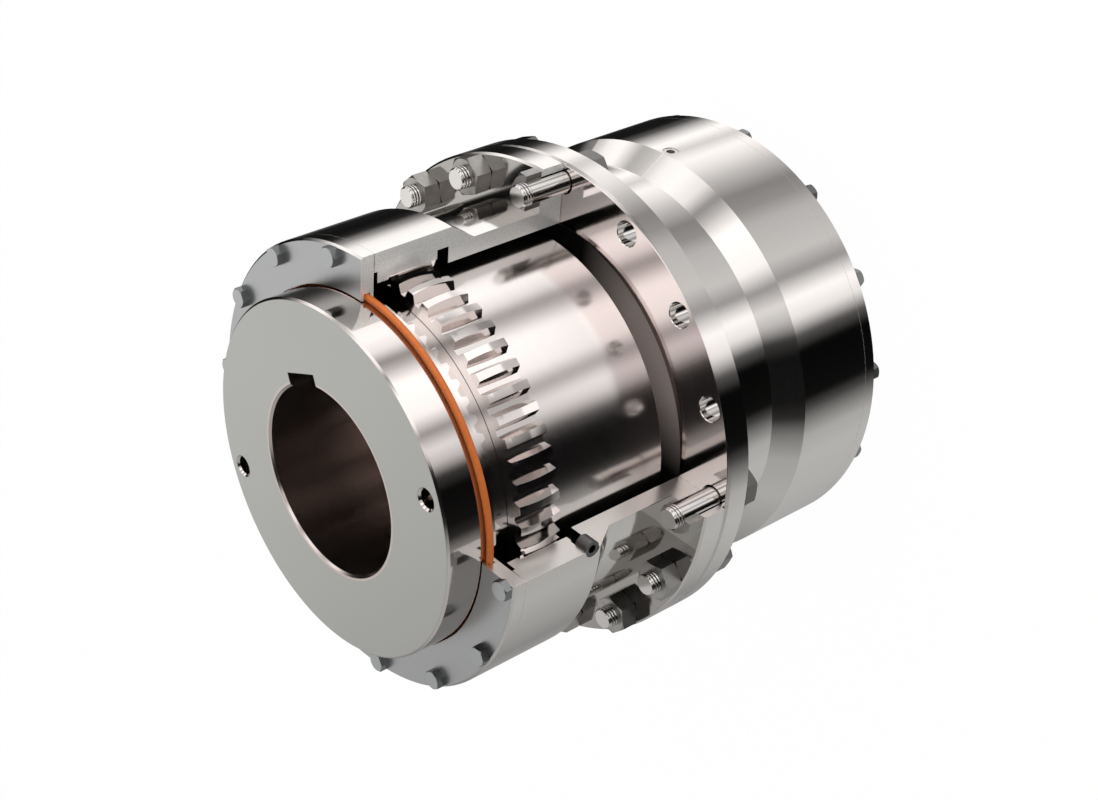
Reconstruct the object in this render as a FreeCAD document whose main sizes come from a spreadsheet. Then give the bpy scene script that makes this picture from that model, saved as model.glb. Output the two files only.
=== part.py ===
"""Flanged gear coupling, cut open over a quarter turn to show its teeth.

Two hubs with crowned outer teeth sit in two flanged sleeves with straight inner teeth.
The sleeves are bolted flange to flange, and a cover with a sealing ring closes each end.
The axis is +Z, the rear hub stands on z = 0 and both keyways point along +X.
Lengths are millimetres. A half is drawn with its flange joint at z = 0 and then lifted.
"""
import FreeCAD, Part
import os

import Sketcher
from FreeCAD import Placement, Rotation, Vector

# Driving dimensions: name, value and what it is
SIZES = [
    ("half_length", 121.9, "flange joint to the outer face of a hub"),
    ("root_step", 0.1, "hub barrel and seal land below the root of the hub teeth"),
    ("hub_inset", 6.1, "flange joint to the inner face of a hub"),
    ("hub_bore_radius", 42.5, "shaft bore"),
    ("key_width", 20.0, "keyway for a key 20 wide and 12 high"),
    ("key_depth", 4.9, "keyway above the bore wall"),
    ("edge_bevel", 1.0, "bevel on hub and flange edges"),
    ("land_length", 24.0, "seal land from the outer face of the hub"),
    ("relief_depth", 4.3, "relief between seal land and teeth, below the land"),
    ("gear_setback", 33.8, "outer face of the hub to the face of its teeth"),
    ("gear_width", 20.7, "face width of the hub teeth"),
    ("puller_rim_distance", 9.5, "puller holes to the rim of the hub"),
    ("puller_hole_radius", 4.25, "M10 tapping hole"),
    ("puller_hole_depth", 20.0, "depth of a puller hole"),
    ("puller_count", 2.0, "tapped puller holes in a hub"),
    ("puller_turn", 90.0, "first puller hole from the keyway"),
    ("tooth_count", 56.0, "teeth on each hub"),
    ("tooth_module", 3.0, "pitch diameter over tooth count"),
    ("tooth_turn", 4.9, "first tooth space of the hub from the keyway"),
    ("hub_addendum", 1.2, "pitch circle to hub tooth tip"),
    ("hub_dedendum", 3.9, "pitch circle to hub tooth root"),
    ("hub_tooth_half", 2.05, "half thickness of a hub tooth on the pitch circle"),
    ("pressure_angle", 20.0, "flank angle"),
    ("flank_crown", 0.3, "thickness lost on each flank at the tooth ends"),
    ("tip_crown", 1.2, "height lost at the ends of a tooth tip"),
    ("flank_gap", 0.2, "hub tooth to sleeve tooth"),
    ("sleeve_addendum", 2.5, "pitch circle to sleeve tooth tip"),
    ("sleeve_dedendum", 3.6, "pitch circle to sleeve tooth root"),
    ("groove_wall", 8.4, "tool groove to the outside of the sleeve"),
    ("cover_setback", 16.4, "outer face of the hub to the cover"),
    ("cover_thickness", 6.3, "cover plate"),
    ("cover_gap", 0.5, "seal land to cover bore"),
    ("cover_bevel", 0.4, "bevel on the cover's bore"),
    ("cover_gasket_thickness", 0.5, "sheet between cover and sleeve"),
    ("seal_radius", 1.5, "half of the sealing ring's section"),
    ("seal_gap", 0.2, "sealing ring to its land"),
    ("seal_groove_gap", 0.1, "sealing ring to its groove"),
    ("seat_width", 8.6, "ring at the end of the sleeve that the cover seats on"),
    ("recess_depth", 1.4, "depth of that recess"),
    ("tip_space", 1.1, "hub tooth tip to the wall of the grease space"),
    ("teeth_setback", 36.2, "outer face of the hub to the sleeve teeth"),
    ("slot_run_out", 6.0, "tooth spaces running on into the grease space"),
    ("groove_setback", 55.0, "outer face of the hub to the tool groove"),
    ("groove_width", 5.8, "tool groove behind the sleeve teeth"),
    ("groove_depth", 4.0, "tool groove below the root of the sleeve teeth"),
    ("sleeve_clearance", 4.0, "hub barrel to the sleeve beyond the tool groove"),
    ("taper_setback", 62.3, "outer face of the hub to the start of the taper"),
    ("taper_length", 12.0, "taper from barrel to neck"),
    ("neck_wall", 8.0, "wall of the sleeve between taper and flange"),
    ("bolt_space", 11.4, "neck to the bolt circle, room for a nut and its spanner"),
    ("bolt_rim_distance", 8.6, "bolt circle to the flange rim"),
    ("flange_thickness", 12.2, "flange disc"),
    ("flange_gasket_thickness", 0.4, "sheet between the flanges"),
    ("bolt_count", 16.0, "places on the flange bolt circle"),
    ("bolts_cut", 3.0, "bolts left out by the display cut"),
    ("bolt_radius", 5.0, "M10 bolt"),
    ("bolt_hole_radius", 5.5, "clearance hole for M10"),
    ("bolt_hole_bevel", 0.3, "bevel at the mouth of a bolt hole"),
    ("bolt_length", 38.0, "M10 bolt under its head"),
    ("bolt_head_height", 6.4, "M10 hexagon head"),
    ("bolt_flats", 16.0, "across flats of head and nut"),
    ("nut_height", 8.4, "M10 nut"),
    ("thread_gap", 0.05, "fastener to its tapped hole"),
    ("screw_count", 14.0, "places on the cover screw circle"),
    ("screws_cut", 3.0, "screws left out by the display cut"),
    ("screw_rim_distance", 4.7, "cover screw circle to the rim of the cover"),
    ("screw_radius", 2.5, "M5 screw"),
    ("screw_hole_radius", 2.75, "clearance hole for M5"),
    ("screw_length", 16.0, "M5 screw under its head"),
    ("screw_head_height", 3.5, "M5 hexagon head"),
    ("screw_flats", 8.0, "across flats of the M5 head"),
    ("hex_bevel", 1.0, "bevel on the corners of a hexagon"),
    ("tip_bevel", 0.7, "bevel on the end of a fastener"),
    ("tapped_spare", 1.6, "tapped hole beyond the end of a screw"),
    ("front_plug_turn", 113.8, "first grease plug of the front sleeve from the keyway"),
    ("rear_plug_turn", 23.8, "first grease plug of the rear sleeve from the keyway"),
    ("plug_count", 2.0, "grease plugs in a sleeve"),
    ("plug_radius", 3.6, "grease plug"),
    ("plug_length", 6.8, "length of a grease plug"),
    ("plug_inset", 0.3, "plug below the barrel"),
    ("socket_radius", 1.9, "round-ended key socket in a plug"),
    ("socket_depth", 3.2, "depth of that socket"),
    ("bolt_turn", 1.3, "first place on the flange bolt circle from the keyway"),
    ("cut_angle", 90.0, "opening of the display cut"),
]

# Worked-out stations. Heights are measured from the flange joint.
STATIONS = [
    ("pitch_radius", "tooth_module * tooth_count / 2"),
    ("hub_tip", "pitch_radius + hub_addendum"),
    ("hub_root", "pitch_radius - hub_dedendum"),
    ("sleeve_tip", "pitch_radius - sleeve_addendum"),
    ("sleeve_root", "pitch_radius + sleeve_dedendum"),
    ("hub_radius", "hub_root - root_step"),
    ("relief_radius", "hub_radius - relief_depth"),
    ("puller_circle_radius", "hub_radius - puller_rim_distance"),
    ("cavity_radius", "hub_tip + tip_space"),
    ("groove_radius", "sleeve_root + groove_depth"),
    ("barrel_radius", "groove_radius + groove_wall"),
    ("recess_radius", "barrel_radius - seat_width"),
    ("screw_circle_radius", "barrel_radius - screw_rim_distance"),
    ("sleeve_bore_radius", "hub_radius + sleeve_clearance"),
    ("neck_radius", "sleeve_bore_radius + neck_wall"),
    ("bolt_circle_radius", "neck_radius + bolt_space"),
    ("flange_radius", "bolt_circle_radius + bolt_rim_distance"),
    ("bore_mouth", "hub_bore_radius + edge_bevel"),
    ("hub_rim", "hub_radius - edge_bevel"),
    ("hub_top_rim", "half_length - edge_bevel"),
    ("hub_foot_rim", "hub_inset + edge_bevel"),
    ("land_foot", "half_length - land_length"),
    ("gear_top", "half_length - gear_setback"),
    ("gear_foot", "gear_top - gear_width"),
    ("gear_middle", "gear_top - gear_width / 2"),
    ("key_reach", "hub_bore_radius + key_depth"),
    ("key_half", "key_width / 2"),
    ("key_start", "hub_bore_radius / 2"),
    ("puller_edge", "puller_circle_radius + puller_hole_radius"),
    ("puller_mouth", "puller_edge + edge_bevel"),
    ("puller_floor", "half_length - puller_hole_depth"),
    ("puller_point", "puller_floor - puller_hole_radius / 2"),
    ("hub_tip_end", "hub_tip - tip_crown"),
    ("crown_radius", "gear_width * gear_width / (8 * tip_crown) + tip_crown / 2"),
    ("space_mouth", "hub_tip + edge_bevel"),
    ("half_pitch", "180 / tooth_count"),
    ("slot_turn", "tooth_turn + half_pitch"),
    ("root_share", "tooth_module * pi / 2 * hub_root / pitch_radius"),
    ("mouth_share", "tooth_module * pi / 2 * space_mouth / pitch_radius"),
    ("root_half", "root_share - hub_tooth_half - hub_dedendum * tan(pressure_angle)"),
    ("mouth_half",
     "mouth_share - hub_tooth_half + (space_mouth - pitch_radius) * tan(pressure_angle)"),
    ("end_root_half", "root_half + flank_crown"),
    ("end_mouth_half", "mouth_half + flank_crown"),
    ("space_top", "gear_top + edge_bevel / 2"),
    ("space_foot", "gear_foot - edge_bevel / 2"),
    ("slot_mouth", "sleeve_tip - edge_bevel"),
    ("slot_root_half", "hub_tooth_half + flank_gap - sleeve_dedendum * tan(pressure_angle)"),
    ("slot_mouth_half",
     "hub_tooth_half + flank_gap + (pitch_radius - slot_mouth) * tan(pressure_angle)"),
    ("cover_top", "half_length - cover_setback"),
    ("cover_top_rim", "cover_top - edge_bevel"),
    ("cover_rim", "barrel_radius - edge_bevel"),
    ("cover_foot", "cover_top - cover_thickness"),
    ("cover_middle", "cover_top - cover_thickness / 2"),
    ("cover_bore", "hub_radius + cover_gap"),
    ("cover_mouth", "cover_bore + cover_bevel"),
    ("cover_mouth_foot", "cover_top - cover_bevel"),
    ("seal_circle", "hub_radius + seal_gap + seal_radius"),
    ("seal_groove", "seal_circle + seal_radius + seal_groove_gap"),
    ("seal_groove_top", "cover_middle + seal_radius + seal_groove_gap"),
    ("seal_groove_foot", "cover_middle - seal_radius - seal_groove_gap"),
    ("sleeve_top", "cover_foot - cover_gasket_thickness"),
    ("recess_floor", "sleeve_top - recess_depth"),
    ("teeth_top", "half_length - teeth_setback"),
    ("groove_top", "half_length - groove_setback"),
    ("groove_foot", "groove_top - groove_width"),
    ("groove_middle", "groove_top - groove_width / 2"),
    ("slot_top", "teeth_top + slot_run_out"),
    ("slot_length", "slot_top - groove_top + edge_bevel"),
    ("taper_top", "half_length - taper_setback"),
    ("taper_foot", "taper_top - taper_length"),
    ("flange_face", "flange_gasket_thickness / 2"),
    ("flange_back", "flange_face + flange_thickness"),
    ("flange_rim", "flange_radius - edge_bevel"),
    ("flange_face_rim", "flange_face + edge_bevel"),
    ("flange_back_rim", "flange_back - edge_bevel"),
    ("bolt_edge", "bolt_circle_radius + bolt_radius"),
    ("bolt_tip_edge", "bolt_edge - tip_bevel"),
    ("bolt_hole_edge", "bolt_circle_radius + bolt_hole_radius"),
    ("bolt_mouth_edge", "bolt_hole_edge + bolt_hole_bevel"),
    ("bolt_mouth_top", "flange_face + bolt_hole_bevel"),
    ("bolt_hole_top", "flange_back + edge_bevel"),
    ("bolt_hex", "bolt_flats / 2 / cos(30)"),
    ("bolt_hex_edge", "bolt_circle_radius + bolt_hex"),
    ("bolt_hex_half", "bolt_hex / 2"),
    ("bolt_flat", "bolt_flats / 2"),
    ("bolt_flat_edge", "bolt_circle_radius + bolt_flat"),
    ("bolt_flat_back", "bolt_circle_radius - bolt_flat"),
    ("bolt_turned", "2 * bolt_hex"),
    ("bolt_foot", "flange_back + bolt_head_height"),
    ("bolt_foot_rim", "bolt_foot - hex_bevel / 2"),
    ("bolt_tip", "bolt_length - flange_back"),
    ("bolt_tip_rim", "bolt_tip - tip_bevel"),
    ("bolt_seat", "0 - flange_back"),
    ("bolt_step", "360 / bolt_count"),
    ("bolts_left", "bolt_count - bolts_cut"),
    ("bolts_span", "(bolts_left - 1) * bolt_step"),
    ("holes_turn", "0 - bolt_turn"),
    ("bolts_turn", "0 - bolt_turn - bolt_step"),
    ("nut_bore_edge", "bolt_edge + thread_gap"),
    ("nut_foot_rim", "flange_back + hex_bevel / 2"),
    ("nut_top", "flange_back + nut_height"),
    ("nut_top_rim", "nut_top - hex_bevel / 2"),
    ("screw_edge", "screw_circle_radius + screw_radius"),
    ("screw_tip_edge", "screw_edge - tip_bevel"),
    ("screw_hex", "screw_flats / 2 / cos(30)"),
    ("screw_hex_edge", "screw_circle_radius + screw_hex"),
    ("screw_hex_half", "screw_hex / 2"),
    ("screw_flat", "screw_flats / 2"),
    ("screw_flat_edge", "screw_circle_radius + screw_flat"),
    ("screw_flat_back", "screw_circle_radius - screw_flat"),
    ("screw_turned", "2 * screw_hex"),
    ("screw_top", "cover_top + screw_head_height"),
    ("screw_top_rim", "screw_top - hex_bevel / 2"),
    ("screw_tip", "cover_top - screw_length"),
    ("screw_tip_rim", "screw_tip + tip_bevel"),
    ("screw_step", "360 / screw_count"),
    ("screws_left", "screw_count - screws_cut"),
    ("screws_span", "(screws_left - 1) * screw_step"),
    ("screws_turn", "0 - screw_step / 2"),
    ("tapped_edge", "screw_edge + thread_gap"),
    ("tapped_foot", "screw_tip - tapped_spare"),
    ("tapped_point", "tapped_foot - screw_radius / 2"),
    ("drill_top", "sleeve_top + edge_bevel"),
    ("screw_hole_edge", "screw_circle_radius + screw_hole_radius"),
    ("plug_side", "groove_middle + plug_radius"),
    ("plug_hole_side", "plug_side + thread_gap"),
    ("plug_outer", "barrel_radius - plug_inset"),
    ("plug_inner", "plug_outer - plug_length"),
    ("plug_inner_rim", "plug_inner + tip_bevel"),
    ("plug_inner_side", "plug_side - tip_bevel"),
    ("plug_hole_foot", "groove_radius - edge_bevel"),
    ("plug_hole_outer", "barrel_radius + edge_bevel"),
    ("socket_side", "groove_middle + socket_radius"),
    ("socket_foot", "plug_outer - socket_depth"),
    ("front_plug_start", "0 - front_plug_turn"),
    ("rear_plug_start", "0 - rear_plug_turn"),
    ("cut_start", "bolts_turn - cut_angle"),
    ("cut_reach", "2 * flange_radius"),
    ("cut_foot", "half_length - flange_face"),
]

os.makedirs("parts", exist_ok=True)
doc = FreeCAD.newDocument("gear_coupling")
sheet = doc.addObject("Spreadsheet::Sheet", "sizes")
for line, (name, number, note) in enumerate(SIZES, start=1):
    sheet.set("A%d" % line, name)
    sheet.set("B%d" % line, str(number))
    sheet.set("C%d" % line, note)
    sheet.setAlias("B%d" % line, name)
doc.recompute()
for line, (name, formula) in enumerate(STATIONS, start=len(SIZES) + 1):
    sheet.set("A%d" % line, name)
    sheet.set("B%d" % line, "=" + formula)
    sheet.setAlias("B%d" % line, name)
    doc.recompute()

NODES = []


def value(name):
    """The present number of a named size; a leading minus turns it round."""
    if name == "zero":
        return 0.0
    if name.startswith("-"):
        return -value(name[1:])
    number = sheet.get(name)
    return float(getattr(number, "Value", number))


def bind(item, target, name):
    item.setExpression(target, "sizes." + name)


def new_body(name, several=False):
    """A body whose z = 0 is the flange joint, lifted to its height over the floor."""
    body = doc.addObject("PartDesign::Body", name)
    body.AllowCompound = several
    bind(body, ".Placement.Base.z", "half_length")
    return body


def origin_item(body, role):
    return [item for item in body.Origin.OriginFeatures if item.Role == role][0]


def new_sketch(body, name, role, height=None, turn=None):
    """A sketch on an origin plane, at a height over it and turned about the body's axis."""
    sketch = body.newObject("Sketcher::SketchObject", name)
    sketch.AttachmentSupport = [(origin_item(body, role), "")]
    sketch.MapMode = "FlatFace"
    axis = Vector(0, 0, 1) if role == "XY_Plane" else Vector(0, 1, 0)
    sketch.AttachmentOffset = Placement(
        Vector(0, 0, value(height) if height else 0),
        Rotation(axis, value(turn) if turn else 0))
    if height:
        bind(sketch, ".AttachmentOffset.Base.z", height)
    if turn:
        bind(sketch, ".AttachmentOffset.Rotation.Angle", turn)
    return sketch


def pin(sketch, geometry, end, across, along):
    """Tie a point to named distances from the sketch's origin."""
    for kind, name, axis in (("DistanceX", across, -2), ("DistanceY", along, -1)):
        if name == "zero":
            sketch.addConstraint(Sketcher.Constraint("PointOnObject", geometry, end, axis))
            continue
        ends = [(-1, 1), (geometry, end)]
        if name.startswith("-"):
            ends.reverse()
        name = name.lstrip("-")
        number = sketch.addConstraint(Sketcher.Constraint(
            kind, ends[0][0], ends[0][1], ends[1][0], ends[1][1], value(name)))
        bind(sketch, "Constraints[%d]" % number, name)


def outline(sketch, corners, arcs=()):
    """A closed outline through named corners; arcs give (edge, radius, bulge across)."""
    points = [Vector(value(across), value(along), 0) for across, along in corners]
    bulges = {edge: (radius, bulge) for edge, radius, bulge in arcs}
    for index, start in enumerate(points):
        end = points[(index + 1) % len(points)]
        if index in bulges:
            middle = Vector(value(bulges[index][1]), (start.y + end.y) / 2, 0)
            sketch.addGeometry(Part.Arc(start, middle, end))
        else:
            sketch.addGeometry(Part.LineSegment(start, end))
    kinds = [type(item).__name__ for item in sketch.Geometry]
    for index in range(len(points)):
        follower = (index + 1) % len(points)
        pair = [2, 1]
        for place, edge in ((0, index), (1, follower)):
            if kinds[edge] == "ArcOfCircle":
                wanted = points[follower]
                near = sketch.getPoint(edge, 1).distanceToPoint(wanted) < 1e-6
                pair[place] = 1 if near else 2
        sketch.addConstraint(
            Sketcher.Constraint("Coincident", index, pair[0], follower, pair[1]))
        if kinds[index] == "LineSegment":
            pin(sketch, index, 1, corners[index][0], corners[index][1])
        else:
            pin(sketch, index - 1, 2, corners[index][0], corners[index][1])
    for edge, (radius, bulge) in bulges.items():
        number = sketch.addConstraint(Sketcher.Constraint("Radius", edge, value(radius)))
        bind(sketch, "Constraints[%d]" % number, radius)


def axis_line(sketch, ends):
    """The construction line that a turned feature goes round."""
    first, second = [Vector(value(across), value(along), 0) for across, along in ends]
    line = sketch.addGeometry(Part.LineSegment(first, second), True)
    pin(sketch, line, 1, ends[0][0], ends[0][1])
    pin(sketch, line, 2, ends[1][0], ends[1][1])


def turned(body, name, corners, kind="Revolution", around=None, turn=None, arcs=()):
    """Turn an outline about the body's axis, or about its own line."""
    sketch = new_sketch(body, name + "_outline", "XZ_Plane", turn=turn)
    outline(sketch, corners, arcs)
    if around:
        axis_line(sketch, around)
    feature = body.newObject("PartDesign::" + kind, name)
    feature.Profile = sketch
    feature.ReferenceAxis = (sketch, ["Axis0" if around else "V_Axis"])
    feature.Angle = 360.0
    doc.recompute()
    return feature


def ring_of(body, name, features, count, span=None):
    """Repeat features round the body's axis, over the whole turn or over a span."""
    pattern = body.newObject("PartDesign::PolarPattern", name)
    pattern.Originals = features
    pattern.Axis = (origin_item(body, "Z_Axis"), [""])
    pattern.Angle = value(span) if span else 360.0
    pattern.Occurrences = int(round(value(count)))
    if span:
        bind(pattern, "Angle", span)
    bind(pattern, "Occurrences", count)
    body.Tip = pattern
    doc.recompute()
    return pattern


def hexagon_cut(body, name, height, corners, reach, centre, length, turn, upwards):
    """Cut everything round a hexagon away, from a height over a length."""
    sketch = new_sketch(body, name + "_outline", "XY_Plane", height, turn)
    outline(sketch, corners)
    edge = sketch.addGeometry(
        Part.Circle(Vector(value(centre), 0, 0), Vector(0, 0, 1), value(reach)))
    pin(sketch, edge, 3, centre, "zero")
    number = sketch.addConstraint(Sketcher.Constraint("Radius", edge, value(reach)))
    bind(sketch, "Constraints[%d]" % number, reach)
    cut = body.newObject("PartDesign::Pocket", name)
    cut.Profile = sketch
    cut.Type = "Length"
    cut.Reversed = upwards
    bind(cut, "Length", length)
    doc.recompute()
    return cut


def pocket(body, name, height, corners, length, turn=None):
    """Cut an outline straight down from a height."""
    sketch = new_sketch(body, name + "_outline", "XY_Plane", height, turn)
    outline(sketch, corners)
    cut = body.newObject("PartDesign::Pocket", name)
    cut.Profile = sketch
    cut.Type = "Length"
    bind(cut, "Length", length)
    doc.recompute()
    return cut


def keep(item, name):
    """Name a finished sub-part after its file."""
    item.Label = name
    NODES.append(item)
    return item


def mirrored(source, name):
    """The same piece in the rear half, mirrored in the flange joint."""
    item = doc.addObject("Part::Mirroring", name)
    item.Source = source
    item.Normal = Vector(0, 0, 1)
    bind(item, "Base.z", "half_length")
    return item


def less(base, tool, name):
    item = doc.addObject("Part::Cut", name)
    item.Base = base
    item.Tool = tool
    return item


def hexagon(prefix):
    """Corners of a hexagon on its bolt circle, one flat facing outwards."""
    half, whole = prefix + "_hex_half", prefix + "_hex"
    outer, inner = prefix + "_flat_edge", prefix + "_flat_back"
    middle = prefix + "_circle_radius"
    return [(outer, half), (middle, whole), (inner, half),
            (inner, "-" + half), (middle, "-" + whole), (outer, "-" + half)]


# Hub: barrel, crowned teeth, relief and seal land in one turned blank
hub = new_body("front_hub")
turned(hub, "hub_blank", [
    ("hub_bore_radius", "hub_foot_rim"), ("bore_mouth", "hub_inset"),
    ("hub_rim", "hub_inset"), ("hub_radius", "hub_foot_rim"),
    ("hub_radius", "gear_foot"), ("hub_tip_end", "gear_foot"),
    ("hub_tip_end", "gear_top"), ("relief_radius", "gear_top"),
    ("relief_radius", "land_foot"), ("hub_radius", "land_foot"),
    ("hub_radius", "hub_top_rim"), ("hub_rim", "half_length"),
    ("bore_mouth", "half_length"), ("hub_bore_radius", "hub_top_rim"),
], arcs=[(5, "crown_radius", "hub_tip")])
pocket(hub, "keyway", "half_length", [
    ("key_start", "-key_half"), ("key_reach", "-key_half"),
    ("key_reach", "key_half"), ("key_start", "key_half")], "half_length")
puller_hole = turned(hub, "puller_hole", [
    ("puller_circle_radius", "half_length"), ("puller_mouth", "half_length"),
    ("puller_edge", "hub_top_rim"), ("puller_edge", "puller_floor"),
    ("puller_circle_radius", "puller_point"),
], "Groove", [("puller_circle_radius", "half_length"), ("puller_circle_radius", "zero")],
    turn="puller_turn")
ring_of(hub, "puller_holes", [puller_hole], "puller_count")

# One tooth space, widest at both ends so that the teeth left between them are crowned
ends = [("hub_root", "-end_root_half"), ("space_mouth", "-end_mouth_half"),
        ("space_mouth", "end_mouth_half"), ("hub_root", "end_root_half")]
waist = [("hub_root", "-root_half"), ("space_mouth", "-mouth_half"),
         ("space_mouth", "mouth_half"), ("hub_root", "root_half")]
sections = []
for level, corners in (("space_top", ends), ("gear_middle", waist), ("space_foot", ends)):
    section = new_sketch(hub, level + "_section", "XY_Plane", level, "tooth_turn")
    outline(section, corners)
    sections.append(section)
space = hub.newObject("PartDesign::SubtractiveLoft", "tooth_space")
space.Profile = sections[0]
space.Sections = sections[1:]
space.Ruled = False
doc.recompute()
ring_of(hub, "tooth_spaces", [space], "tooth_count")
keep(hub, "front_hub")
keep(mirrored(hub, "rear_hub"), "rear_hub")

# Sleeve with its teeth and flange, still without drillings in its end
sleeve = new_body("sleeve")
turned(sleeve, "sleeve_blank", [
    ("sleeve_bore_radius", "flange_face"), ("flange_rim", "flange_face"),
    ("flange_radius", "flange_face_rim"), ("flange_radius", "flange_back_rim"),
    ("flange_rim", "flange_back"), ("neck_radius", "flange_back"),
    ("neck_radius", "taper_foot"), ("barrel_radius", "taper_top"),
    ("barrel_radius", "sleeve_top"), ("recess_radius", "sleeve_top"),
    ("recess_radius", "recess_floor"), ("cavity_radius", "recess_floor"),
    ("cavity_radius", "teeth_top"), ("sleeve_tip", "teeth_top"),
    ("sleeve_tip", "groove_top"), ("groove_radius", "groove_top"),
    ("groove_radius", "groove_foot"), ("sleeve_bore_radius", "groove_foot")])
bolt_hole = turned(sleeve, "bolt_hole", [
    ("bolt_circle_radius", "zero"), ("bolt_mouth_edge", "zero"),
    ("bolt_mouth_edge", "flange_face"), ("bolt_hole_edge", "bolt_mouth_top"),
    ("bolt_hole_edge", "bolt_hole_top"), ("bolt_circle_radius", "bolt_hole_top"),
], "Groove", [("bolt_circle_radius", "zero"), ("bolt_circle_radius", "bolt_hole_top")],
    "holes_turn")
ring_of(sleeve, "bolt_holes", [bolt_hole], "bolt_count")
slot = pocket(sleeve, "tooth_slot", "slot_top", [
    ("slot_mouth", "-slot_mouth_half"), ("sleeve_root", "-slot_root_half"),
    ("sleeve_root", "slot_root_half"), ("slot_mouth", "slot_mouth_half")],
    "slot_length", "slot_turn")
ring_of(sleeve, "tooth_slots", [slot], "tooth_count")


def drillings(name, screws_turn, plug_turn):
    """Tapped cover screw holes and grease holes of one sleeve, as a tool."""
    body = new_body(name, several=True)
    tapped = turned(body, name + "_tapped", [
        ("screw_circle_radius", "drill_top"), ("tapped_edge", "drill_top"),
        ("tapped_edge", "tapped_foot"), ("screw_circle_radius", "tapped_point"),
    ], around=[("screw_circle_radius", "drill_top"), ("screw_circle_radius", "zero")],
        turn=screws_turn)
    ring_of(body, name + "_tapped_holes", [tapped], "screw_count")
    grease = turned(body, name + "_grease", [
        ("plug_hole_foot", "groove_middle"), ("plug_hole_foot", "plug_hole_side"),
        ("plug_hole_outer", "plug_hole_side"), ("plug_hole_outer", "groove_middle"),
    ], around=[("plug_hole_foot", "groove_middle"), ("plug_hole_outer", "groove_middle")],
        turn=plug_turn)
    ring_of(body, name + "_grease_holes", [grease], "plug_count")
    return body


def cover(name, screws_turn):
    """Cover ring with its seal groove and screw holes."""
    body = new_body(name)
    turned(body, name + "_blank", [
        ("cover_bore", "cover_foot"), ("barrel_radius", "cover_foot"),
        ("barrel_radius", "cover_top_rim"), ("cover_rim", "cover_top"),
        ("cover_mouth", "cover_top"), ("cover_bore", "cover_mouth_foot"),
        ("cover_bore", "seal_groove_top"), ("seal_groove", "seal_groove_top"),
        ("seal_groove", "seal_groove_foot"), ("cover_bore", "seal_groove_foot")])
    hole = turned(body, name + "_hole", [
        ("screw_circle_radius", "sleeve_top"), ("screw_hole_edge", "sleeve_top"),
        ("screw_hole_edge", "half_length"), ("screw_circle_radius", "half_length"),
    ], "Groove", [("screw_circle_radius", "sleeve_top"),
                  ("screw_circle_radius", "half_length")], screws_turn)
    ring_of(body, name + "_holes", [hole], "screw_count")
    return body


def cover_gasket(name, screws_turn):
    """Flat sheet between cover and sleeve."""
    body = new_body(name)
    turned(body, name + "_sheet", [
        ("recess_radius", "sleeve_top"), ("barrel_radius", "sleeve_top"),
        ("barrel_radius", "cover_foot"), ("recess_radius", "cover_foot")])
    hole = turned(body, name + "_hole", [
        ("screw_circle_radius", "recess_floor"), ("screw_hole_edge", "recess_floor"),
        ("screw_hole_edge", "cover_middle"), ("screw_circle_radius", "cover_middle"),
    ], "Groove", [("screw_circle_radius", "recess_floor"),
                  ("screw_circle_radius", "cover_middle")], screws_turn)
    ring_of(body, name + "_holes", [hole], "screw_count")
    return body


def cover_screws(name, screws_turn, count, span=None):
    """Hexagon head screws through a cover into the end of a sleeve."""
    body = new_body(name, several=True)
    screw = turned(body, name + "_turned", [
        ("screw_circle_radius", "screw_tip"), ("screw_tip_edge", "screw_tip"),
        ("screw_edge", "screw_tip_rim"), ("screw_edge", "cover_top"),
        ("screw_hex_edge", "cover_top"), ("screw_hex_edge", "screw_top_rim"),
        ("screw_flat_edge", "screw_top"), ("screw_circle_radius", "screw_top"),
    ], around=[("screw_circle_radius", "screw_tip"), ("screw_circle_radius", "screw_top")],
        turn=screws_turn)
    flats = hexagon_cut(body, name + "_flats", "cover_top", hexagon("screw"),
                        "screw_turned", "screw_circle_radius", "screw_head_height",
                        screws_turn, True)
    ring_of(body, name + "_ring", [screw, flats], count, span)
    return body


def grease_plugs(name, plug_turn):
    """Socket plugs flush in the outside of a sleeve."""
    body = new_body(name, several=True)
    plug = turned(body, name + "_turned", [
        ("plug_inner", "groove_middle"), ("plug_inner", "plug_inner_side"),
        ("plug_inner_rim", "plug_side"), ("plug_outer", "plug_side"),
        ("plug_outer", "socket_side"), ("socket_foot", "socket_side"),
        ("socket_foot", "groove_middle"),
    ], around=[("plug_inner", "groove_middle"), ("plug_outer", "groove_middle")],
        turn=plug_turn)
    ring_of(body, name + "_ring", [plug], "plug_count")
    return body


# The display cut: a sector through the front half only
sector = doc.addObject("Part::Cylinder", "display_cut")
bind(sector, "Radius", "cut_reach")
bind(sector, "Height", "half_length")
bind(sector, "Angle", "cut_angle")
sector.Placement = Placement(
    Vector(0, 0, value("cut_foot")), Rotation(Vector(0, 0, 1), value("cut_start")))
bind(sector, "Placement.Base.z", "cut_foot")
bind(sector, "Placement.Rotation.Angle", "cut_start")

front_drillings = drillings("front_drillings", "screws_turn", "front_plug_start")
rear_drillings = drillings("rear_drillings", None, "rear_plug_start")
front_drilled = less(sleeve, front_drillings, "front_drilled")
rear_drilled = less(sleeve, rear_drillings, "rear_drilled")
keep(less(front_drilled, sector, "front_sleeve"), "front_sleeve")
keep(mirrored(rear_drilled, "rear_sleeve"), "rear_sleeve")

keep(less(cover("whole_front_cover", "screws_turn"), sector, "front_cover"), "front_cover")
keep(mirrored(cover("whole_rear_cover", None), "rear_cover"), "rear_cover")
keep(less(cover_gasket("whole_front_gasket", "screws_turn"), sector, "front_cover_gasket"),
     "front_cover_gasket")
keep(mirrored(cover_gasket("whole_rear_gasket", None), "rear_cover_gasket"),
     "rear_cover_gasket")

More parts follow.
